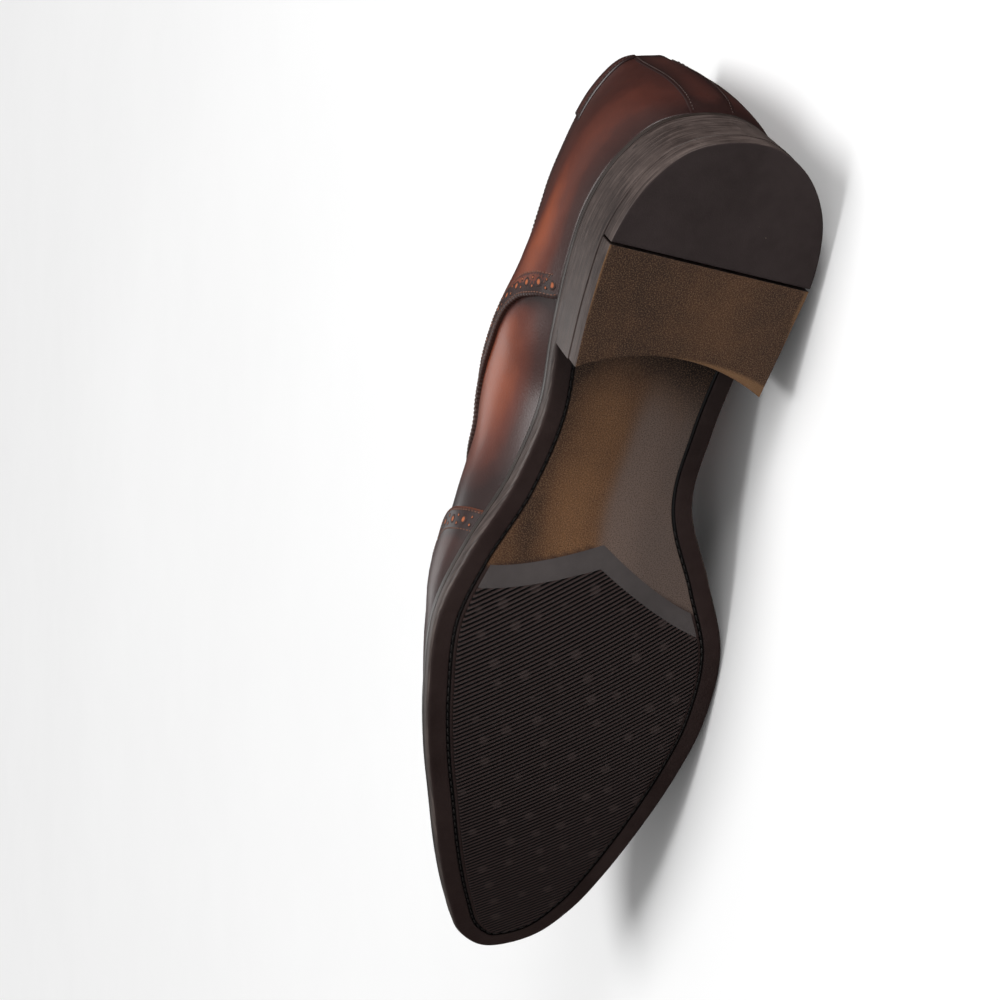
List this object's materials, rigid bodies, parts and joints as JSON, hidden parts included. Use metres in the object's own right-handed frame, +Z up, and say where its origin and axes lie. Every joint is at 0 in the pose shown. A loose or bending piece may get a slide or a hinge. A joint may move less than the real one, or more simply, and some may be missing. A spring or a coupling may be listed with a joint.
{
  "type": "shoe",
  "caption": "Man's full brogue derby in burnished brown leather, left foot, lying on its inner side with its sole and stacked heel in view.",
  "frame": {"origin": "bottom centre of the bounding box of the shoe as it lies on its medial side", "axes": "+X from heel to toe, +Y from the collar towards the sole, +Z up, which is the lateral side of the shoe"},
  "size_m": [0.3094, 0.1032, 0.1025],
  "materials": {
    "upper_leather": "burnished calf leather, polished, darker at edges and seams",
    "edge_leather": "stained and waxed sole edge and heel stack",
    "sole_leather": "stained sole leather, satin",
    "lining_leather": "smooth lining leather",
    "sole_rubber": "ridged matt rubber",
    "waxed_cotton": "flat waxed laces"
  },
  "bodies": {
    "root": {"outsole": "sole_leather", "rubber_forepart": "sole_rubber", "welt": "edge_leather", "insole": "lining_leather", "heel_stack": "edge_leather", "top_piece_rubber": "sole_rubber", "top_piece_leather": "sole_leather", "upper": "upper_leather", "wing_cap": "upper_leather", "quarter_lateral": "upper_leather", "quarter_medial": "upper_leather", "back_strip": "upper_leather", "collar_band_lateral": "upper_leather", "collar_band_medial": "upper_leather", "tongue": "upper_leather", "lace_bar_1": "waxed_cotton", "lace_bar_2": "waxed_cotton", "lace_bar_3": "waxed_cotton", "lace_bar_4": "waxed_cotton", "lace_bar_5": "waxed_cotton"}
  },
  "joints": []
}
